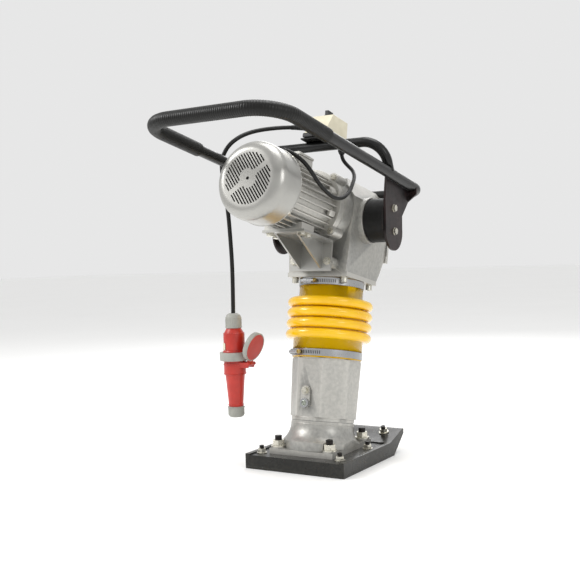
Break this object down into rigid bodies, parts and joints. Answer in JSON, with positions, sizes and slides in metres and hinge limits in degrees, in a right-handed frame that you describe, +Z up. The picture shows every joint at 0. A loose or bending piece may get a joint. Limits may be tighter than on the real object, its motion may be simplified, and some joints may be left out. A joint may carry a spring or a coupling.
{
  "type": "tamping rammer",
  "caption": "Electric upright tamping rammer: flat shoe with upturned toe, leaning leg and bellows, crankcase with motor, loop handle on rubber buffers.",
  "frame": {"origin": "centre of the flat part of the sole, on the ground", "axes": "+X the machine's right, +Y forward to the upturned toe, +Z up"},
  "size_m": [0.4442, 0.7728, 0.9225],
  "materials": {
    "shoe_black": "gloss black paint",
    "cast_silver": "sand-cast with a satin silver coat",
    "cowl_silver": "satin silver paint on pressed sheet",
    "zinc_steel": "bright zinc plate",
    "dark_steel": "turned steel, oiled",
    "sight_glass": "clear lens in a zinc rim",
    "bellows_yellow": "glossy yellow polyurethane",
    "band_steel": "bright stainless band",
    "black_plastic": "black moulded plastic",
    "black_paint": "satin black powder coat",
    "bracket_paint": "dark paint",
    "black_rubber": "matt black rubber",
    "cream_plastic": "cream moulded plastic",
    "red_plastic": "red moulded plastic",
    "grey_plastic": "grey moulded plastic"
  },
  "bodies": {
    "foot": {"sole_plate": "shoe_black", "shoe_block": "shoe_black", "shoe_studs": "dark_steel", "shoe_nuts": "zinc_steel", "leg_cylinder": "cast_silver", "sight_glass": "sight_glass", "filler_plug": "zinc_steel", "spring_cylinder": "dark_steel", "spring_cap": "dark_steel", "lower_spring": "dark_steel", "upper_spring": "dark_steel", "bellows": "bellows_yellow", "lower_clamp": "band_steel"},
    "ram": {"piston": "dark_steel", "piston_rod": "dark_steel", "piston_nut": "zinc_steel", "gudgeon_pin": "dark_steel"},
    "connecting_rod_body": {"connecting_rod": "dark_steel", "crank_pin": "dark_steel"},
    "housing": {"crankcase": "cast_silver", "crankcase_cover": "cast_silver", "case_bolts": "zinc_steel", "guide_cylinder": "cast_silver", "upper_clamp": "band_steel", "motor_frame": "cast_silver", "motor_flange": "cast_silver", "rear_shield": "cast_silver", "stator_core": "dark_steel", "fan_cowl": "cowl_silver", "terminal_box": "cast_silver", "terminal_lid": "cast_silver", "terminal_gland": "black_plastic", "motor_bracket": "cast_silver", "ball_bearings": "dark_steel", "left_buffer": "black_rubber", "right_buffer": "black_rubber"},
    "rotor": {"rotor_shaft": "dark_steel", "rotor_core": "dark_steel", "cooling_fan": "black_plastic", "drive_pinion": "dark_steel"},
    "crank": {"crank_gear": "dark_steel"},
    "handle": {"handle_frame": "black_paint", "guard_hoop": "black_paint", "handle_grip": "black_rubber", "left_bracket": "bracket_paint", "right_bracket": "bracket_paint", "buffer_bolts": "zinc_steel", "switch_plate": "black_paint", "switch_base": "black_plastic", "switch_box": "cream_plastic", "box_glands": "black_plastic", "supply_cord": "black_rubber", "motor_lead": "black_rubber", "plug_gland_nut": "grey_plastic", "plug_body": "red_plastic"},
    "knob": {"switch_knob": "black_plastic"},
    "ring": {"bayonet_ring": "grey_plastic"},
    "connector": {"connector_body": "red_plastic", "connector_nut": "grey_plastic"},
    "lid": {"connector_lid": "red_plastic"}
  },
  "joints": [
    {"name": "spring_travel", "type": "slide", "parent": "foot", "child": "ram", "axis": [0, 0.1942, 0.981], "range_m": [-0.02, 0.02], "stiffness_N_per_m": 60000, "deforming": ["lower_spring", "upper_spring"]},
    {"name": "crank_stroke", "type": "slide", "parent": "ram", "child": "housing", "axis": [0, 0.1942, 0.981], "range_m": [0, 0.056], "deforming": ["bellows"]},
    {"name": "gudgeon_swing", "type": "hinge", "parent": "ram", "child": "connecting_rod_body", "pos_m": [0, 0.0866, 0.48041], "axis": [0, 0.981, -0.1942], "range_deg": [-12, 12]},
    {"name": "crank_spin", "type": "hinge", "parent": "housing", "child": "crank", "pos_m": [0, 0.1002, 0.54908], "axis": [0, 0.981, -0.1942], "continuous": true},
    {"name": "rotor_spin", "type": "hinge", "parent": "housing", "child": "rotor", "pos_m": [0, 0.11768, 0.63736], "axis": [0, 0.981, -0.1942], "continuous": true},
    {"name": "handle_rock", "type": "hinge", "parent": "housing", "child": "handle", "pos_m": [0, 0.11515, 0.62461], "axis": [1, 0, 0], "range_deg": [-4, 4], "stiffness_Nm_per_rad": 1500, "deforming": ["motor_lead"]},
    {"name": "switch_turn", "type": "hinge", "parent": "handle", "child": "knob", "pos_m": [0, 0.09227, 0.90031], "axis": [0, 0.1942, 0.981], "range_deg": [-45, 45]},
    {"name": "ring_turn", "type": "hinge", "parent": "handle", "child": "ring", "pos_m": [-0.207, -0.084, 0.28], "axis": [0, 0, 1], "range_deg": [0, 45]},
    {"name": "connector_pull", "type": "slide", "parent": "handle", "child": "connector", "axis": [0, 0, -1], "range_m": [0, 0.06]},
    {"name": "lid_turn", "type": "hinge", "parent": "connector", "child": "lid", "pos_m": [-0.156, -0.084, 0.261], "axis": [0, 1, 0], "range_deg": [0, 60]}
  ],
  "couplings": [
    {"joint": "rotor_spin", "follows": "crank_spin", "ratio": -4.1429}
  ]
}
